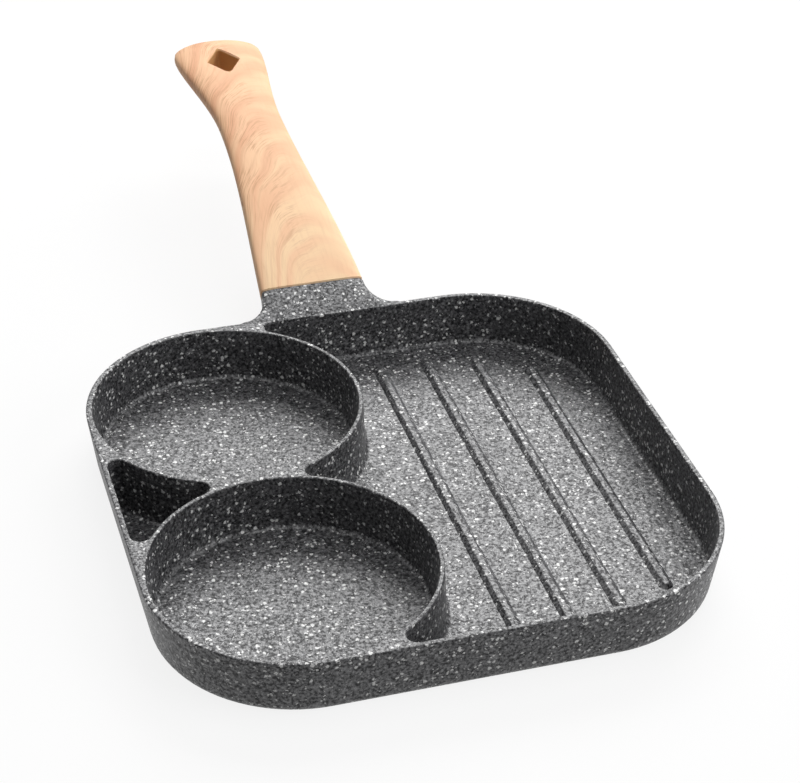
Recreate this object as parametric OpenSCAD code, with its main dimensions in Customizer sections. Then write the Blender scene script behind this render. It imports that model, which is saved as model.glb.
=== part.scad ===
/* [Pan] */
// Width of the pan at its rim, across the handle
pan_w = 190; // [185:1:230]
// Depth of the pan at its rim, along the handle
pan_d = 190; // [180:1:210]
// Height of the pan from its base to its rim
pan_h = 22; // [18:0.5:40]
// Radius of the pan's corners at the rim
corner_r = 49; // [44:0.5:50]
// Thickness of the outer wall
wall_t = 1.9; // [1.5:0.1:2.2]
// Thickness of the floor
floor_t = 2.5; // [2:0.1:5]
// How far each wall leans in between the rim and the base
draft = 1.2; // [0.4:0.1:1.4]
// Radius between the walls and the floor, inside
floor_fillet = 1.8; // [1:0.1:2]
// Radius between the walls and the base, outside
base_fillet = 4; // [2:0.5:5]
// Rounding of the edges of the rim and the partitions
rim_round = 0.45; // [0.2:0.05:0.6]

/* [Compartments] */
// Thickness of the ring round each egg well, at its top
ring_t = 1.5; // [1.2:0.1:2.5]
// Wall left between a well and the outside of the pan
well_edge = 2.3; // [2:0.1:4]
// Wall left between the two wells
well_web = 2; // [1.5:0.1:4]
// Radius of the narrow ends between a ring and a wall
cusp_r = 3.5; // [3.5:0.1:5]

/* [Griddle ribs] */
// Number of ribs
rib_count = 4; // [2:1:6]
// Width of a rib where it leaves the floor
rib_w = 4.9; // [3:0.1:7]
// Height of a rib
rib_h = 1.3; // [0.8:0.1:2.4]
// Width of the flat on top of a rib
rib_flat = 1.4; // [0.5:0.1:2]
// Rounding between the flat and the flanks of a rib
rib_round = 0.8; // [0.5:0.1:1.5]
// Gap from the rings to the middle of the first rib
rib_ring_gap = 17.8; // [12:0.1:25]
// Gap from the side wall to the middle of the last rib
rib_wall_gap = 20.8; // [12:0.1:25]
// Gap from the outside of the pan to the end of a rib
rib_end_gap = 12; // [9:0.5:30]
// Radius of the corner that the rib ends follow
rib_corner_r = 44; // [30:1:50]

/* [Base] */
// Number of round grooves under the base
groove_count = 8; // [1:1:9]
// Radius of the smallest groove
groove_first_r = 16; // [10:1:20]
// Step from one groove to the next
groove_pitch = 8; // [4:0.5:8]
// Width of a groove
groove_w = 1.6; // [0.8:0.1:3]
// Depth of a groove
groove_deep = 0.5; // [0.2:0.1:0.8]

/* [Handle line] */
// Slope of the handle where it leaves the rim, in degrees
rise_angle = 21; // [5:1:30]
// Radius of the arc that the top of the handle follows
arc_r = 440; // [350:10:800]
// Length of the cast lug, along the arc
lug_l = 15; // [12:0.5:25]
// Length of the wooden grip, along the arc
grip_l = 172; // [130:1:200]

/* [Handle section] */
// Width of the lug and of the grip where they meet
joint_w = 39; // [34:0.5:46]
// Width of the grip at its waist
waist_w = 25.6; // [20:0.2:34]
// Distance from the joint to the waist
waist_at = 101; // [80:1:110]
// Width of the grip at its end
end_w = 37; // [28:0.2:44]
// How far the end of the grip bows out
end_bow = 7.8; // [3:0.2:9]
// Radius of the corners at the end of the grip
end_corner_r = 3.2; // [2:0.2:6]
// Height of the crown above the widest line of the section
crown = 3.5; // [2.5:0.1:5]
// Depth of the belly below the widest line, at the joint
belly_joint = 12.5; // [12:0.1:15]
// Depth of the belly at the waist
belly_waist = 9.5; // [7:0.1:12]
// Depth of the belly at the end
belly_end = 10.2; // [7:0.1:13]
// How far the lug flares out on each side where it leaves the wall
flare_out = 11; // [4:0.5:12]
// Length of the lug left straight between its flare and the joint
lug_straight = 1.4; // [1.2:0.1:6]
// Width of the shadow line round the lug at the joint
reveal_w = 1; // [0.5:0.1:2]
// Depth of that shadow line
reveal_deep = 0.4; // [0.2:0.1:0.8]

/* [Hang hole] */
// Length of the diamond hang hole, along the handle
hang_l = 21; // [12:0.5:26]
// Width of the hang hole
hang_w = 13; // [8:0.5:16]
// Distance from the end of the grip to the middle of the hole
hang_from_end = 24; // [20:0.5:32]
// Radius of the hole's corners
hang_corner_r = 1.4; // [0.8:0.1:2]
// Chamfer round the hole
hang_chamfer = 0.7; // [0.3:0.1:1.2]

/* [Tang and screw] */
// Width of the cast tang inside the grip
tang_w = 22; // [16:0.5:24]
// Thickness of the tang
tang_t = 6; // [4:0.1:6.5]
// Length of the tang beyond the lug
tang_l = 34; // [28:1:50]
// Depth of the tang's top below the crown of the grip
tang_top = 4.2; // [3.6:0.1:5]
// Clearance between the tang and its socket
tang_gap = 0.2; // [0.1:0.05:0.4]
// Thread diameter of the handle screw
screw_d = 5; // [4:0.5:6]
// Diameter of the screw's head
head_d = 9; // [8.5:0.5:11]
// Height of the screw's head
head_h = 2.4; // [2:0.1:3]
// Width across the cross recess in the head
drive_w = 4.6; // [3:0.1:5]
// Depth of the cross recess
drive_deep = 1.3; // [0.8:0.1:1.6]
// Width of one slot of the cross recess
drive_slot = 1; // [0.8:0.1:1.4]
// Thickness of the spring washer
washer_t = 1.1; // [0.8:0.1:1.6]
// Outside diameter of the spring washer
washer_d = 8.8; // [8:0.1:10]
// Width of the cut through the spring washer
washer_cut = 0.8; // [0.4:0.1:1.2]
// Wood left between the washer and the socket
seat_t = 1.8; // [1.4:0.1:2.2]
// Clearance of the screw in the wood, and of the washer on the screw
screw_gap = 0.2; // [0.1:0.05:0.4]
// Clearance of the screw in its threaded hole
thread_gap = 0.05; // [0.02:0.01:0.1]
// Thread left empty in the tang above the screw's tip
thread_left = 0.6; // [0.2:0.1:2]
// Clearance round the screw's head in its recess
recess_gap = 1; // [0.5:0.1:1.5]

/* [Hidden] */
$fn = 96;

// Steps in a small rounding, and points round a section of the handle
round_steps = 5;
section_points = 48;
// Roundness of the section above its widest line, at the joint and past the waist
joint_power = 6;
crown_power = 2.6;
// Roundness of the section below that line
belly_power = 2.2;
// Roundness of the lug's section where it leaves the wall
root_power = 9;
// How far cutting tools run past the faces that they cut
over = 3;
// How far a rib is rooted in the floor
rib_root = 0.5;
rib_steps = 4;
// How far neighbouring pieces of a hollow lie in each other
lap = 0.05;
lap_angle = 1;
// How much deeper a narrow end is cut than the walls that it joins
hair = 0.02;
// Rounding of the edge of the grip at the joint and of its tip
joint_round = 0.5;
tip_round = 7;
// Smallest size of a ring at the tip of the grip, and of a thin slice
smallest = 0.05;

half_w = pan_w / 2;
half_d = pan_d / 2;
well_r = (pan_d - 2 * well_edge - well_web) / 4;
well_x = -(half_w - well_edge - well_r);
well_y = well_r + well_web / 2;
ring_r = well_r + ring_t;
inner_x = half_w - wall_t;
inner_y = half_d - wall_t;
corner_x = half_w - corner_r;
corner_y = half_d - corner_r;

// Arc that the top of the lug and grip follows
arc_y = inner_y + rim_round + arc_r * sin(rise_angle);
arc_z = pan_h - arc_r * cos(rise_angle);
tip_s = lug_l + grip_l;
tang_mid_s = lug_l + tang_l / 2;
hang_s = tip_s - hang_from_end;

// Centres of the narrow ends of the griddle and the side pocket
cusp_reach = ring_r + cusp_r;
tip_run = sqrt(pow(cusp_reach, 2) - pow(inner_y - cusp_r - well_y, 2));
side_run = sqrt(pow(cusp_reach, 2) - pow(inner_x - cusp_r + well_x, 2));
mid_run = sqrt(pow(cusp_reach, 2) - pow(well_y, 2));
tip_c = [well_x + tip_run, -(inner_y - cusp_r)];
side_c = [-(inner_x - cusp_r), -(well_y - side_run)];
mid_c = [well_x + mid_run, 0];
pocket_c = [well_x - mid_run, 0];

rib_first_x = well_x + ring_r + rib_ring_gap;
rib_last_x = inner_x - rib_wall_gap;
rib_pitch = (rib_last_x - rib_first_x) / (rib_count - 1);

// Slope of a rib's flank, which touches the rounding of its top
rib_foot = rib_w / 2 - rib_flat / 2;
rib_slope = rib_flank(rib_foot, rib_h, rib_round);

// Seat of the washer below the arc, and length of the screw under its head
seat_z = tang_top + tang_t + tang_gap + seat_t;
screw_l = seat_z + washer_t - tang_top - thread_left;

// Rounds the points of a wall's section to a thousandth, so that pieces meet exactly
function snap(points) = [for (p = points) [round(p[0] * 1000) / 1000, round(p[1] * 1000) / 1000]];

// Angle of the line from one point to another
function heading(from, to) = atan2(to[1] - from[1], to[0] - from[0]);

// Foot of a leaning wall as [inset, height] points: a fillet from a flat at z0
function foot(z0, fillet, height) =
    let (lean = atan(draft / height),
         z = z0 + fillet,
         o = draft * (1 - fillet / height) + fillet / cos(lean))
    [for (i = [0:round_steps])
        let (a = 270 - (90 - lean) * i / round_steps)
        [o + fillet * cos(a), z + fillet * sin(a)]];

// Top edge of a wall seen from the hollow, running on above the rim
function hollow_lip(height) =
    let (lean = atan(draft / height),
         o = draft * rim_round / height - rim_round / cos(lean))
    concat([for (i = [0:round_steps])
        let (a = lean + (90 - lean) * i / round_steps)
        [o + rim_round * cos(a), pan_h - rim_round + rim_round * sin(a)]],
        [[o, pan_h + over]]);

// Top edge of a wall seen from outside
function outer_lip(height) =
    let (lean = atan(draft / height),
         o = draft * rim_round / height + rim_round / cos(lean))
    [for (i = [0:round_steps])
        let (a = 180 + lean - (90 + lean) * i / round_steps)
        [o + rim_round * cos(a), pan_h - rim_round + rim_round * sin(a)]];

hollow_h = pan_h - floor_t;
hollow_side = snap(concat(foot(floor_t, floor_fillet, hollow_h), hollow_lip(hollow_h)));
outer_side = snap(concat(foot(0, base_fillet, pan_h), outer_lip(pan_h)));

// Half section that reaches out to a wall at radius r, from radius r0
module section_out(side, r, r0) {
    z_low = side[0][1];
    z_high = side[len(side) - 1][1];
    polygon(concat([[r0, z_low]], [for (p = side) [r - p[0], p[1]]], [[r0, z_high]]));
}

// Half section that reaches in to a wall at radius r, from radius r1
module section_in(side, r, r1) {
    z_low = side[0][1];
    z_high = side[len(side) - 1][1];
    polygon(concat([[r1, z_low]], [for (p = side) [r + p[0], p[1]]], [[r1, z_high]]));
}

// Turns a half section about a vertical axis from one angle to another
module turn(centre, from, to)
    translate([centre[0], centre[1], 0]) rotate(from) rotate_extrude(angle = to - from) children();

// Runs a half section along a line, with the wall on the line's right
module run(from, to)
    translate([from[0], from[1], 0]) rotate(heading(from, to))
        rotate([90, 0, 90]) linear_extrude(norm(to - from)) mirror([1, 0]) children();

// Outer shape of the pan: corners turned, sides run between them
module outer_block() {
    for (sx = [0, 1], sy = [0, 1]) mirror([sx, 0, 0]) mirror([0, sy, 0])
        turn([corner_x, corner_y], 0, 90) section_out(outer_side, corner_r, 0);
    for (sx = [0, 1]) mirror([sx, 0, 0])
        run([half_w, -corner_y], [half_w, corner_y]) section_out(outer_side, 0, -corner_r);
    for (sy = [0, 1]) mirror([0, sy, 0])
        run([-corner_x, -half_d], [corner_x, -half_d]) section_out(outer_side, 0, -half_d);
}

module rounded_rect(x, y, r) {
    square([2 * x, 2 * (y - r)], center = true);
    square([2 * (x - r), 2 * y], center = true);
    for (sx = [-1, 1], sy = [-1, 1]) translate([sx * (x - r), sy * (y - r)]) circle(r);
}

// Hollow between the walls, inside the bands that follow them
module hollow_core(x0, x1)
    translate([0, 0, floor_t]) linear_extrude(hollow_h + over) difference() {
        intersection() {
            rounded_rect(inner_x - cusp_r + lap, inner_y - cusp_r + lap, corner_r - wall_t - cusp_r + lap);
            translate([x0, -half_d]) square([x1 - x0, pan_d]);
        }
        for (s = [-1, 1]) translate([well_x, s * well_y]) circle(cusp_reach - lap);
    }

// Narrow end between two walls: a hair wider than they are, and past where they end
module cusp(centre, from, to)
    turn(centre, from - lap_angle, to + lap_angle) section_out(hollow_side, cusp_r + hair, 0);

module griddle_hollow() {
    well = [well_x, -well_y];
    hollow_core(well_x + cusp_r, half_w);
    for (s = [0, 1]) mirror([0, s, 0]) {
        turn([corner_x, -corner_y], -90, 0)
            section_out(hollow_side, corner_r - wall_t, corner_r - wall_t - cusp_r);
        run([tip_c[0], -inner_y], [corner_x, -inner_y]) section_out(hollow_side, 0, -cusp_r);
        cusp(tip_c, heading(tip_c, well), 270);
        turn(well, heading(well, tip_c), heading(well, mid_c)) section_in(hollow_side, ring_r, cusp_reach);
    }
    run([inner_x, -corner_y], [inner_x, corner_y]) section_out(hollow_side, 0, -cusp_r);
    cusp(mid_c, -heading(mid_c, well), 360 + heading(mid_c, well));
}

module pocket_hollow() {
    well = [well_x, -well_y];
    hollow_core(-half_w, well_x - cusp_r);
    for (s = [0, 1]) mirror([0, s, 0]) {
        turn(well, heading(well, pocket_c), heading(well, side_c)) section_in(hollow_side, ring_r, cusp_reach);
        cusp(side_c, 180, 360 + heading(side_c, well));
    }
    run([-inner_x, -side_c[1]], [-inner_x, side_c[1]]) section_out(hollow_side, 0, -cusp_r);
    cusp(pocket_c, heading(pocket_c, well), -heading(pocket_c, well));
}

module well_hollow()
    translate([well_x, well_y, 0]) rotate_extrude() section_out(hollow_side, well_r, 0);

// Half length of the rib at x, so that its ends follow a rounded square
function rib_reach(x) =
    let (bx = half_w - rib_end_gap - rib_corner_r,
         by = half_d - rib_end_gap - rib_corner_r)
    x < bx ? by + rib_corner_r : by + sqrt(pow(rib_corner_r, 2) - pow(x - bx, 2));

// Slope of the line from (reach, 0) that touches a circle of radius r under (0, height)
function rib_flank(reach, height, r) =
    atan2(height - r, reach) + asin(r / norm([reach, height - r]));

// Right side of a rib's section, from the floor to the flat on its top
rib_side = snap(concat([[rib_w / 2, 0]], [for (i = [0:rib_steps])
    let (a = 90 - rib_slope * (1 - i / rib_steps))
    [rib_flat / 2 + rib_round * cos(a), rib_h - rib_round + rib_round * sin(a)]]));

// A low rib with a narrow flat top and round ends, rooted in the floor
module rib(x) {
    reach = rib_reach(x) - rib_w / 2;
    foot_x = rib_side[0][0];
    translate([x, 0, floor_t]) {
        rotate([90, 0, 0]) translate([0, 0, -reach]) linear_extrude(2 * reach)
            polygon(concat([[foot_x, -rib_root]], rib_side,
                [for (i = [len(rib_side) - 1:-1:0]) [-rib_side[i][0], rib_side[i][1]]], [[-foot_x, -rib_root]]));
        for (s = [0, 1]) mirror([0, s, 0]) translate([0, reach, 0])
            rotate_extrude(angle = 180)
                polygon(concat([[0, -rib_root], [foot_x, -rib_root]], rib_side, [[0, rib_h]]));
    }
}

module base_grooves()
    for (i = [0:groove_count - 1])
        rotate_extrude() translate([groove_first_r + i * groove_pitch - groove_w / 2, -over])
            square([groove_w, over + groove_deep]);

// Place on the handle's arc: s along it, x across it, up from it
function arc_point(s, x, up) =
    let (a = rise_angle - s / arc_r * 180 / PI)
    [x, arc_y - (arc_r + up) * sin(a), arc_z + (arc_r + up) * cos(a)];

// Moves to the arc at s, with Y along it and Z away from its centre
module on_arc(s)
    translate(arc_point(s, 0, 0)) rotate([rise_angle - s / arc_r * 180 / PI, 0, 0]) children();

function bent(v, power) = sign(v) * pow(abs(v), 2 / power);

// One ring of the lug or grip: rounder above or below by its two powers
function ring(s, half, top, belly, top_power, low_power) =
    [for (i = [0:section_points - 1])
        let (a = 360 * i / section_points,
             power = sin(a) >= 0 ? top_power : low_power,
             rise = bent(sin(a), power) * (sin(a) >= 0 ? top : belly))
        arc_point(s, half * bent(cos(a), power), rise - crown)];

// Skin over a list of rings, closed by a flat face at each end
module skin(rings) {
    n = section_points;
    last = len(rings) - 1;
    polyhedron(
        points = [for (r = rings) each r],
        faces = concat(
            [[for (i = [n - 1:-1:0]) i]],
            [for (k = [0:last - 1], i = [0:n - 1])
                let (a = k * n + i, b = k * n + (i + 1) % n)
                each [[a, b, a + n], [b, b + n, a + n]]],
            [[for (i = [0:n - 1]) last * n + i]]));
}

function blend(a, b, t) = a + (b - a) * t;
function ease(t) = t * t * (3 - 2 * t);

// The lug starts inside the wall, and its flare where the arc leaves the wall
lug_start_s = 0.1;
flare_start_s = (wall_t - rim_round) / cos(rise_angle);
flare_run = lug_l - lug_straight - flare_start_s;
flare_steps = 8;

// Half width of the lug: a round flare from the wall into straight sides
function lug_half(s) =
    let (left = min(max(1 - (s - flare_start_s) / flare_run, 0), 1))
    joint_w / 2 + flare_out * (1 - sqrt(1 - left * left));

// One ring of the lug, upright at the wall and square to the arc at the joint
function lug_ring(s, inset) =
    let (t = ease(min(max((s - flare_start_s) / (lug_l - flare_start_s), 0), 1)),
         a = (rise_angle - s / arc_r * 180 / PI) * (1 - t),
         root = arc_point(s, 0, 0))
    [for (p = ring(s, lug_half(s) - inset, crown - inset, belly_joint - inset,
            1 / blend(1 / root_power, 1 / joint_power, t), blend(root_power, belly_power, t)))
        let (y = p[1] - root[1], z = p[2] - root[2])
        [p[0], root[1] + y * cos(a) + z * sin(a), root[2] - y * sin(a) + z * cos(a)]];

// Cast lug with its flare and its shadow line
module lug()
    skin(concat(
        [lug_ring(lug_start_s, 0)],
        [for (i = [0:flare_steps])
            lug_ring(flare_start_s + flare_run * (1 - cos(90 * i / flare_steps)), 0)],
        [lug_ring(lug_l - reveal_w, 0)],
        [lug_ring(lug_l - reveal_w, reveal_deep), lug_ring(lug_l, reveal_deep)]));

// Block of the tang, or of its socket with the clearance added
module tang(gap)
    on_arc(tang_mid_s) translate([-tang_w / 2 - gap, -tang_l / 2 - over, -tang_top - tang_t - gap])
        cube([tang_w + 2 * gap, tang_l + over + gap, tang_t + 2 * gap]);

// Axis of the handle screw, pointing down out of the grip
module on_screw() on_arc(tang_mid_s) rotate([180, 0, 0]) children();

module pan_body() color("#4b4c4e") difference() {
    union() {
        difference() {
            outer_block();
            griddle_hollow();
            pocket_hollow();
            well_hollow();
            mirror([0, 1, 0]) well_hollow();
        }
        lug();
        for (i = [0:rib_count - 1]) rib(rib_first_x + i * rib_pitch);
        tang(0);
    }
    base_grooves();
    on_screw() cylinder(d = screw_d + 2 * thread_gap, h = tang_top + tang_t + over);
}

// Half width of the grip before its end is rounded off
function grip_half(s) =
    let (u = s - lug_l,
         t = min(u / waist_at, 1),
         v = (u - waist_at) / (grip_l - end_bow - waist_at))
    u < waist_at
        ? blend(joint_w, waist_w, t + t * t - t * t * t) / 2
        : blend(waist_w, end_w, ease(min(v, 1))) / 2;

// Half width that the bowed end allows at a distance from the tip
bow_r = (pow(end_w / 2, 2) + pow(end_bow, 2)) / (2 * end_bow);
function bow_half(left) =
    left >= bow_r ? bow_r : sqrt(pow(bow_r, 2) - pow(bow_r - left, 2));

// The smaller of two widths, with the corner between them rounded
function round_min(a, b, r) = -r / 2 * ln(exp(-2 * a / r) + exp(-2 * b / r));

function grip_belly(s) =
    let (u = s - lug_l)
    u < waist_at
        ? blend(belly_joint, belly_waist, ease(u / waist_at))
        : blend(belly_waist, belly_end, ease((u - waist_at) / (grip_l - waist_at)));

// Roundness of the top of the grip: flat at the joint, round past the waist
function grip_power(s) =
    1 / blend(1 / joint_power, 1 / crown_power, ease(min((s - lug_l) / waist_at, 1)));

// Ring of the grip, with its depth rounded off near the tip
function grip_ring(s, inset) =
    let (left = tip_s - s,
         half = max(round_min(grip_half(s), bow_half(left), end_corner_r) - inset, smallest),
         q = left < tip_round ? pow(1 - pow(1 - left / tip_round, crown_power), 1 / crown_power) : 1,
         k = max(q, smallest))
    ring(s, half, (crown - inset) * k, (grip_belly(s) - inset) * k,
        grip_power(s), belly_power);

grip_steps = 26;
end_steps = 9;

// Wooden grip without its holes
module grip_body() {
    end_s = tip_s - end_bow - end_corner_r;
    skin(concat(
        [grip_ring(lug_l, joint_round)],
        [for (i = [0:grip_steps]) grip_ring(blend(lug_l + joint_round, end_s, i / grip_steps), 0)],
        [for (i = [0:end_steps])
            let (x = end_w / 2 * cos(90 * i / end_steps),
                 left = bow_r - sqrt(pow(bow_r, 2) - pow(x, 2)))
            grip_ring(tip_s - left, 0)]));
}

// Diamond with round corners, grown outward by an amount
module diamond(grow) {
    a = hang_l / 2 - hang_corner_r;
    b = hang_w / 2 - hang_corner_r;
    r = hang_corner_r + grow;
    hull() {
        for (s = [-1, 1]) translate([0, s * a]) circle(r, $fn = 24);
        for (s = [-1, 1]) translate([s * b, 0]) circle(r, $fn = 24);
    }
}

module hang_hole() on_arc(hang_s) {
    depth = crown + max(belly_waist, belly_end);
    translate([0, 0, -depth - over]) linear_extrude(depth + 2 * over) diamond(0);
    hull() {
        translate([0, 0, -hang_chamfer]) linear_extrude(smallest) diamond(0);
        linear_extrude(smallest) diamond(hang_chamfer);
    }
}

module handle() color("#f3cda6") difference() {
    grip_body();
    tang(tang_gap);
    hang_hole();
    on_screw() {
        translate([0, 0, tang_top + tang_t])
            cylinder(d = screw_d + 2 * screw_gap, h = belly_joint + over);
        translate([0, 0, seat_z]) cylinder(d = head_d + 2 * recess_gap, h = belly_joint + over);
    }
}

// Pan-head screw with a cross recess, seated on the washer
module handle_screw() color("silver") on_screw() {
    head_z = seat_z + washer_t;
    dome_r = (pow(head_d / 2, 2) + pow(head_h, 2)) / (2 * head_h);
    translate([0, 0, head_z - screw_l]) cylinder(d = screw_d, h = screw_l);
    difference() {
        translate([0, 0, head_z]) intersection() {
            cylinder(d = head_d, h = head_h);
            translate([0, 0, head_h - dome_r]) sphere(dome_r);
        }
        for (a = [0, 90]) rotate(a) translate([-drive_w / 2, -drive_slot / 2, head_z + head_h - drive_deep])
            cube([drive_w, drive_slot, drive_deep + over]);
    }
}

// Spring washer cut through on one side
module spring_washer() color("dimgray") on_screw()
    translate([0, 0, seat_z]) difference() {
        cylinder(d = washer_d, h = washer_t);
        translate([0, 0, -over]) cylinder(d = screw_d + 2 * screw_gap, h = washer_t + 2 * over);
        translate([0, -washer_cut / 2, -over]) cube([washer_d, washer_cut, washer_t + 2 * over]);
    }

pan_body();
handle();
handle_screw();
spring_washer();
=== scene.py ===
from math import copysign, hypot, radians

import bpy
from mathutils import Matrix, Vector


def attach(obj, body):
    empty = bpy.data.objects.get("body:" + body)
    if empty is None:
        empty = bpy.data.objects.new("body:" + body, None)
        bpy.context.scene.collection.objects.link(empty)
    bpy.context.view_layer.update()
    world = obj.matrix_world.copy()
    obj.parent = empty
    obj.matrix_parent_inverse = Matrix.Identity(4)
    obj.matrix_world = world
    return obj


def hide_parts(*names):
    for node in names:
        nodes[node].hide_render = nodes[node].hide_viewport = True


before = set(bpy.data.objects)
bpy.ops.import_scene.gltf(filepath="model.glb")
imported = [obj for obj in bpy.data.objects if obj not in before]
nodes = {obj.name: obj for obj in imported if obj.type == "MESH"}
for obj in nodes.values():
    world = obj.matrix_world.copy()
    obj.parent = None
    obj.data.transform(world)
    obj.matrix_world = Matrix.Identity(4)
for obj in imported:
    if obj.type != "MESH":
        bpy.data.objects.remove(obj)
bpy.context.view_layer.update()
scene = bpy.context.scene


# Small builder for node trees

class Tree:
    def __init__(self, name):
        self.material = bpy.data.materials.new(name)
        self.material.use_nodes = True
        self.nodes = self.material.node_tree.nodes
        self.links = self.material.node_tree.links
        self.nodes.clear()

    def add(self, kind, inputs=None, **settings):
        node = self.nodes.new(kind)
        for key, value in settings.items():
            setattr(node, key, value)
        for key, value in (inputs or {}).items():
            self.put(node.inputs[key], value)
        return node

    def put(self, socket, value):
        if isinstance(value, bpy.types.NodeSocket):
            self.links.new(value, socket)
        else:
            socket.default_value = value

    def math(self, operation, a, b=0.0):
        return self.add("ShaderNodeMath", {0: a, 1: b}, operation=operation).outputs[0]

    def vector(self, operation, inputs):
        return self.add("ShaderNodeVectorMath", inputs, operation=operation).outputs[0]

    def remap(self, value, low, high, to_low=0.0, to_high=1.0):
        node = self.add(
            "ShaderNodeMapRange",
            {
                "Value": value,
                "From Min": low,
                "From Max": high,
                "To Min": to_low,
                "To Max": to_high,
            },
            interpolation_type="SMOOTHSTEP",
        )
        return node.outputs["Result"]

    def mix(self, amount, a, b):
        node = self.add("ShaderNodeMix", data_type="RGBA")
        self.put(node.inputs["Factor"], amount)
        self.put(node.inputs[6], a)
        self.put(node.inputs[7], b)
        return node.outputs[2]

    def place(self):
        return self.add("ShaderNodeTexCoord").outputs["Object"]

    def noise(self, vector, scale, detail, rough=0.55):
        node = self.add(
            "ShaderNodeTexNoise",
            {"Vector": vector, "Scale": scale, "Detail": detail, "Roughness": rough},
        )
        return node.outputs["Fac"]

    def finish(self, shader):
        self.add("ShaderNodeOutputMaterial", {"Surface": shader})
        return self.material


def colour(r, g, b):
    """An sRGB colour of 0 to 255 as linear RGBA."""
    def linear(v):
        v /= 255.0
        return v / 12.92 if v <= 0.04045 else ((v + 0.055) / 1.055) ** 2.4

    return (linear(r), linear(g), linear(b), 1.0)


# Specks of a stone-look coating: dots in random cells, few of them large

def specks(t, where, cells, smallest, largest, share, power):
    cell = t.add("ShaderNodeTexVoronoi", {"Vector": where, "Scale": cells}, feature="F1")
    pick = t.add("ShaderNodeSeparateColor", {"Color": cell.outputs["Color"]})
    size = t.math("MULTIPLY", t.math("POWER", pick.outputs[0], power), largest - smallest)
    size = t.math("ADD", size, smallest)
    on = t.math("GREATER_THAN", pick.outputs[1], 1.0 - share)
    dot = t.remap(t.math("SUBTRACT", size, cell.outputs["Distance"]), 0.0, 0.1)
    return t.math("MULTIPLY", dot, on)


def coating():
    t = Tree("stone_coating")
    where = t.place()
    wobble = t.add("ShaderNodeTexNoise", {"Vector": where, "Scale": 1300.0, "Detail": 1.0})
    shift = t.vector("SUBTRACT", {0: wobble.outputs["Color"], 1: (0.5, 0.5, 0.5)})
    bent = t.vector("ADD", {0: where, 1: t.vector("SCALE", {0: shift, 3: 0.0012})})
    cloud = t.noise(where, 60.0, 3.0)
    mottle = t.noise(where, 960.0, 2.0, 0.65)
    fine = t.noise(where, 1900.0, 1.0)
    base = t.mix(t.remap(cloud, 0.35, 0.65), colour(50, 50, 52), colour(60, 60, 62))
    base = t.mix(t.remap(mottle, 0.48, 0.36), base, colour(24, 24, 26))
    base = t.mix(t.remap(mottle, 0.56, 0.7), base, colour(102, 102, 104))
    grey = specks(t, bent, 820.0, 0.22, 0.52, 0.7, 1.2)
    white = specks(t, bent, 680.0, 0.14, 0.5, 0.6, 1.8)
    large = specks(t, bent, 330.0, 0.05, 0.3, 0.36, 2.4)
    base = t.mix(t.math("MULTIPLY", grey, 0.6), base, colour(132, 132, 134))
    base = t.mix(t.math("MULTIPLY", white, 0.95), base, colour(226, 226, 225))
    base = t.mix(t.math("MULTIPLY", large, 0.98), base, colour(242, 242, 240))
    relief = t.math("ADD", t.math("MULTIPLY", mottle, 0.8), t.math("MULTIPLY", fine, 0.2))
    bump = t.add("ShaderNodeBump", {"Strength": 1.0, "Distance": 0.00018, "Height": relief})
    shader = t.add(
        "ShaderNodeBsdfPrincipled",
        {
            "Base Color": base,
            "Roughness": t.remap(fine, 0.3, 0.7, 0.38, 0.5),
            "Specular IOR Level": t.remap(mottle, 0.38, 0.62, 0.2, 1.0),
            "Normal": bump.outputs[0],
        },
    )
    return t.finish(shader.outputs[0])


# Wood whose grain follows the arc of the handle, with a cathedral figure right of its middle

ARC_Y = 0.25123
ARC_Z = -0.38878
ARC_R = 0.44
RISE = 21.0
# The hang hole: its place along the arc, the slope of its diamond, and where the painted shade on its
# walls begins
HOLE_S = 0.163
HOLE_ALONG = 0.489
HOLE_ACROSS = 0.8725
HOLE_SHADE_EDGE = (0.0061, 0.0059)


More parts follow.
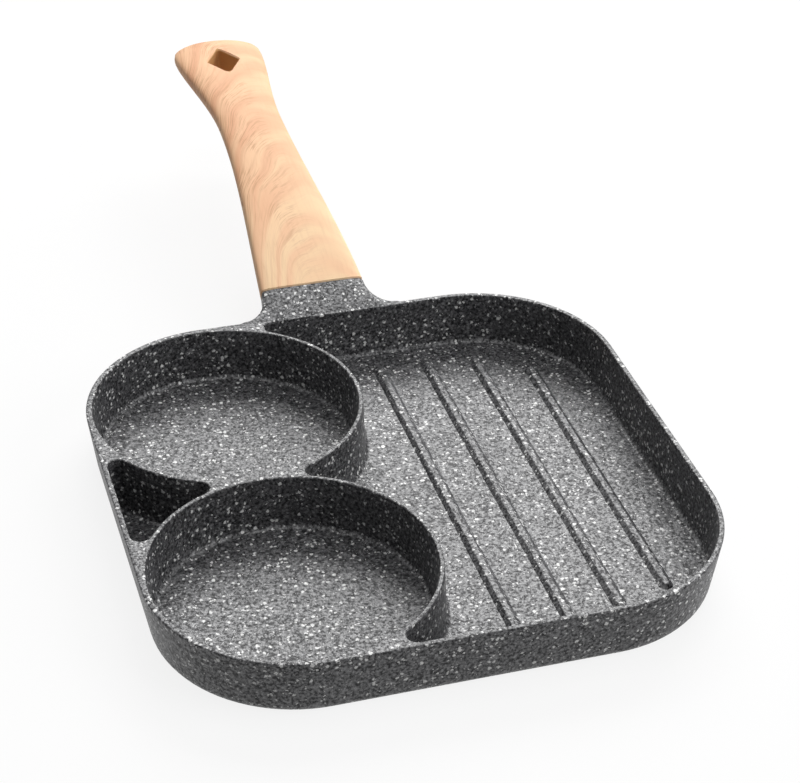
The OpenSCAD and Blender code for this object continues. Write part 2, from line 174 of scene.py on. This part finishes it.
def wood():
    t = Tree("light_wood")
    split = t.add("ShaderNodeSeparateXYZ", {"Vector": t.place()})
    x = split.outputs[0]
    dy = t.math("SUBTRACT", split.outputs[1], ARC_Y)
    dz = t.math("SUBTRACT", split.outputs[2], ARC_Z)
    turn = t.math("ADD", t.math("ARCTAN2", dy, dz), radians(RISE))
    along = t.math("MULTIPLY", turn, ARC_R)
    squares = t.math("ADD", t.math("MULTIPLY", dy, dy), t.math("MULTIPLY", dz, dz))
    up = t.math("SUBTRACT", t.math("SQRT", squares), ARC_R)
    bent = t.add("ShaderNodeCombineXYZ", {0: x, 1: along, 2: up}).outputs[0]

    def stretched(keep):
        return t.add("ShaderNodeMapping", {"Vector": bent, "Scale": (1.0, keep, 1.0)}).outputs[0]

    side = t.math("SUBTRACT", x, 0.006)
    bow = t.math("MULTIPLY", t.math("MULTIPLY", side, side), 85.0)
    sweep = t.noise(stretched(0.6), 40.0, 1.0)
    figure = t.math("ADD", t.math("ADD", along, bow), t.math("MULTIPLY", sweep, 0.03))
    figure = t.math("ADD", figure, t.math("MULTIPLY", up, 0.6))

    def strokes(across, over, detail):
        spread = {
            0: t.math("MULTIPLY", x, across),
            1: t.math("MULTIPLY", figure, over),
            2: t.math("MULTIPLY", up, across),
        }
        return t.noise(t.add("ShaderNodeCombineXYZ", spread).outputs[0], 1.0, detail, 0.6)

    band = t.remap(strokes(25.0, 75.0, 1.0), 0.38, 0.62)
    fine = t.remap(strokes(170.0, 900.0, 3.0), 0.47, 0.62)
    vein = t.remap(strokes(70.0, 260.0, 2.0), 0.52, 0.68)
    cluster = t.remap(t.noise(stretched(0.6), 60.0, 2.0), 0.38, 0.54)
    leaning = t.remap(x, 0.010, -0.006, 0.12, 1.0)
    tip_painted_shade = t.remap(along, 0.02, 0.14)
    line = t.math("MULTIPLY", fine, t.math("MULTIPLY", leaning, cluster))
    line = t.math("MULTIPLY", line, t.remap(along, 0.02, 0.075, 0.35, 1.0))
    vein = t.math("MULTIPLY", vein, leaning)
    fibre = t.noise(stretched(0.1), 800.0, 3.0, 0.6)
    # Pinker and darker toward the left side and away from the joint: partly the wood's own pink tone,
    # partly painted shade for light falling from the right, with the joint painted lighter
    pink_tone_and_painted_shade = t.math("MULTIPLY", t.remap(x, 0.010, -0.014), t.remap(along, 0.015, 0.09, 0.05, 1.0))
    cream = t.mix(pink_tone_and_painted_shade, colour(251, 217, 175), colour(243, 197, 156))
    pink = t.mix(pink_tone_and_painted_shade, colour(248, 204, 164), colour(234, 178, 138))
    # Painted shade: the cream and the pink turn darker toward the tip of the handle
    cream = t.mix(t.math("MULTIPLY", tip_painted_shade, 0.8), cream, colour(242, 196, 156))
    pink = t.mix(t.math("MULTIPLY", tip_painted_shade, 0.8), pink, colour(230, 176, 138))
    base = t.mix(band, cream, pink)
    base = t.mix(t.math("MULTIPLY", vein, 0.3), base, colour(206, 150, 112))
    base = t.mix(t.math("MULTIPLY", line, 0.55), base, colour(186, 126, 88))
    base = t.mix(t.math("MULTIPLY", t.remap(fibre, 0.45, 0.75), 0.12), base, colour(205, 148, 108))
    # Painted shade: the walls of the hang hole are coloured a darker brown that stands in for the
    # shade inside the hole
    off = t.math("ABSOLUTE", t.math("SUBTRACT", along, HOLE_S))
    off = t.math("MULTIPLY", off, HOLE_ALONG)
    off = t.math("ADD", off, t.math("MULTIPLY", t.math("ABSOLUTE", x), HOLE_ACROSS))
    base = t.mix(t.remap(off, *HOLE_SHADE_EDGE), base, colour(205, 156, 104))
    bump = t.add("ShaderNodeBump", {"Strength": 0.12, "Distance": 0.0001, "Height": fibre})
    shader = t.add(
        "ShaderNodeBsdfPrincipled",
        {"Base Color": base, "Roughness": 0.6, "Specular IOR Level": 0.25, "Normal": bump.outputs[0]},
    )
    return t.finish(shader.outputs[0])


def steel():
    t = Tree("screw_steel")
    where = t.place()
    scratch = t.noise(where, 4000.0, 2.0)
    bump = t.add("ShaderNodeBump", {"Strength": 0.1, "Distance": 0.00003, "Height": scratch})
    shader = t.add(
        "ShaderNodeBsdfPrincipled",
        {
            "Base Color": colour(180, 180, 182),
            "Metallic": 1.0,
            "Roughness": t.remap(scratch, 0.3, 0.7, 0.24, 0.4),
            "Normal": bump.outputs[0],
        },
    )
    return t.finish(shader.outputs[0])


# Smooth shading: welded for the normals, split again at sharp edges

def dress(piece, material, angle):
    piece.data.materials.clear()
    piece.data.materials.append(material)
    for attribute in ("custom_normal", "sharp_edge", "sharp_face"):
        found = piece.data.attributes.get(attribute)
        if found:
            piece.data.attributes.remove(found)
    piece.data.polygons.foreach_set("use_smooth", [True] * len(piece.data.polygons))
    weld = piece.modifiers.new("weld", "WELD")
    weld.merge_threshold = 0.000002
    split = piece.modifiers.new("split", "EDGE_SPLIT")
    split.split_angle = radians(angle)
    split.use_edge_sharp = False


# The casting with outer walls that lean in further toward the base than the CAD's draft

PAN_HALF = 0.095
PAN_CORNER = 0.049
PAN_HIGH = 0.022
CAD_LEAN = 0.0012
BASE_ROUND = 0.004
MORE_LEAN = 0.0018
# How far outside and inside the outer surface a point may lie and still belong to it
SLACK_OUT = 0.0002
SLACK_IN = 0.0003


def inward(x, y):
    """Distance in from the outline of the rim, and the direction inward there."""
    dx = abs(x) - (PAN_HALF - PAN_CORNER)
    dy = abs(y) - (PAN_HALF - PAN_CORNER)
    if dx > 0 and dy > 0:
        reach = hypot(dx, dy)
        return PAN_CORNER - reach, -copysign(dx / reach, x), -copysign(dy / reach, y)
    if dx > dy:
        return PAN_CORNER - dx, -copysign(1.0, x), 0.0
    return PAN_CORNER - dy, 0.0, -copysign(1.0, y)


def leaning_pan():
    cad = nodes["pan_body"]
    piece = bpy.data.objects.new("coated_pan", cad.data.copy())
    piece.matrix_world = cad.matrix_world.copy()
    scene.collection.objects.link(piece)
    for vertex in piece.data.vertices:
        x, y, z = vertex.co
        if z >= PAN_HIGH:
            continue
        depth, over_x, over_y = inward(x, y)
        down = 1.0 - z / PAN_HIGH
        below = max(BASE_ROUND - z, 0.0)
        rounded = BASE_ROUND - max(BASE_ROUND**2 - below**2, 0.0) ** 0.5
        if -SLACK_OUT <= depth <= CAD_LEAN * down + rounded + SLACK_IN:
            shift = MORE_LEAN * down
            vertex.co = (x + over_x * shift, y + over_y * shift, z)
    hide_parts("pan_body")
    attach(piece, "root")
    return piece


dress(leaning_pan(), coating(), 25)
dress(nodes["handle"], wood(), 32)
metal = steel()
dress(nodes["handle_screw"], metal, 30)
dress(nodes["spring_washer"], metal, 30)


# Pale floor and white surroundings

def floor():
    t = Tree("pale_floor")
    path = t.add("ShaderNodeLightPath")
    seen = t.math("MAXIMUM", path.outputs["Is Camera Ray"], path.outputs["Is Glossy Ray"])
    seen = t.math("MAXIMUM", seen, path.outputs["Is Transmission Ray"])
    pale = t.mix(seen, (0.45, 0.45, 0.45, 1), (0.95, 0.95, 0.95, 1))
    plain = t.add("ShaderNodeBsdfDiffuse", {"Color": pale})
    glow = t.add("ShaderNodeEmission", {"Color": (1, 1, 1, 1), "Strength": 1.0})
    share = t.math("MULTIPLY", seen, 0.86)
    shader = t.add("ShaderNodeMixShader", {0: share, 1: plain.outputs[0], 2: glow.outputs[0]})
    mesh = bpy.data.meshes.new("floor")
    s = 4.0
    mesh.from_pydata([(-s, -s, 0), (s, -s, 0), (s, s, 0), (-s, s, 0)], [], [(0, 1, 2, 3)])
    mesh.materials.append(t.finish(shader.outputs[0]))
    piece = bpy.data.objects.new("floor", mesh)
    piece.location.z = -0.0001
    scene.collection.objects.link(piece)


def surroundings(strength):
    world = bpy.data.worlds.new("studio")
    scene.world = world
    world.use_nodes = True
    n = world.node_tree.nodes
    links = world.node_tree.links
    n.clear()
    out = n.new("ShaderNodeOutputWorld")
    mix = n.new("ShaderNodeMixShader")
    path = n.new("ShaderNodeLightPath")
    dim = n.new("ShaderNodeBackground")
    dim.inputs[0].default_value = (1.0, 1.0, 1.0, 1)
    dim.inputs[1].default_value = strength
    white = n.new("ShaderNodeBackground")
    white.inputs[0].default_value = (1, 1, 1, 1)
    white.inputs[1].default_value = 1.0
    seen = [path.outputs[k] for k in ("Is Camera Ray", "Is Glossy Ray", "Is Transmission Ray")]
    either = n.new("ShaderNodeMath")
    either.operation = "MAXIMUM"
    any_of = n.new("ShaderNodeMath")
    any_of.operation = "MAXIMUM"
    links.new(seen[0], either.inputs[0])
    links.new(seen[1], either.inputs[1])
    links.new(either.outputs[0], any_of.inputs[0])
    links.new(seen[2], any_of.inputs[1])
    links.new(any_of.outputs[0], mix.inputs[0])
    links.new(dim.outputs[0], mix.inputs[1])
    links.new(white.outputs[0], mix.inputs[2])
    links.new(mix.outputs[0], out.inputs[0])


def softbox(name, position, aim, size, power):
    light = bpy.data.lights.new(name, "AREA")
    light.shape = "RECTANGLE"
    light.size, light.size_y = size
    light.energy = power
    lamp = bpy.data.objects.new(name, light)
    lamp.location = position
    lamp.rotation_euler = (Vector(aim) - Vector(position)).to_track_quat("-Z", "Y").to_euler()
    scene.collection.objects.link(lamp)


floor()
surroundings(0.08)
softbox("key", (1.35, -0.85, 0.85), (0, 0.04, 0), (1.2, 1.2), 14.0)
softbox("top", (0.1, 0.1, 1.9), (0, 0.04, 0), (1.2, 1.2), 11.0)
softbox("back", (0.55, 1.1, 1.0), (0, 0.0, 0), (1.3, 0.9), 23.0)


# Camera found from the outline of the pan in the photograph

camera = bpy.data.cameras.new("camera")
camera.lens = 99.915
camera.sensor_width = 36.0
camera.clip_start = 0.01
eye = bpy.data.objects.new("camera", camera)
eye.location = (-0.17702, -0.57693, 0.45178)
eye.rotation_euler = (radians(56.2230), radians(-0.8892), radians(-16.5961))
scene.collection.objects.link(eye)
scene.camera = eye

scene.view_settings.view_transform = "Standard"
scene.view_settings.look = "None"
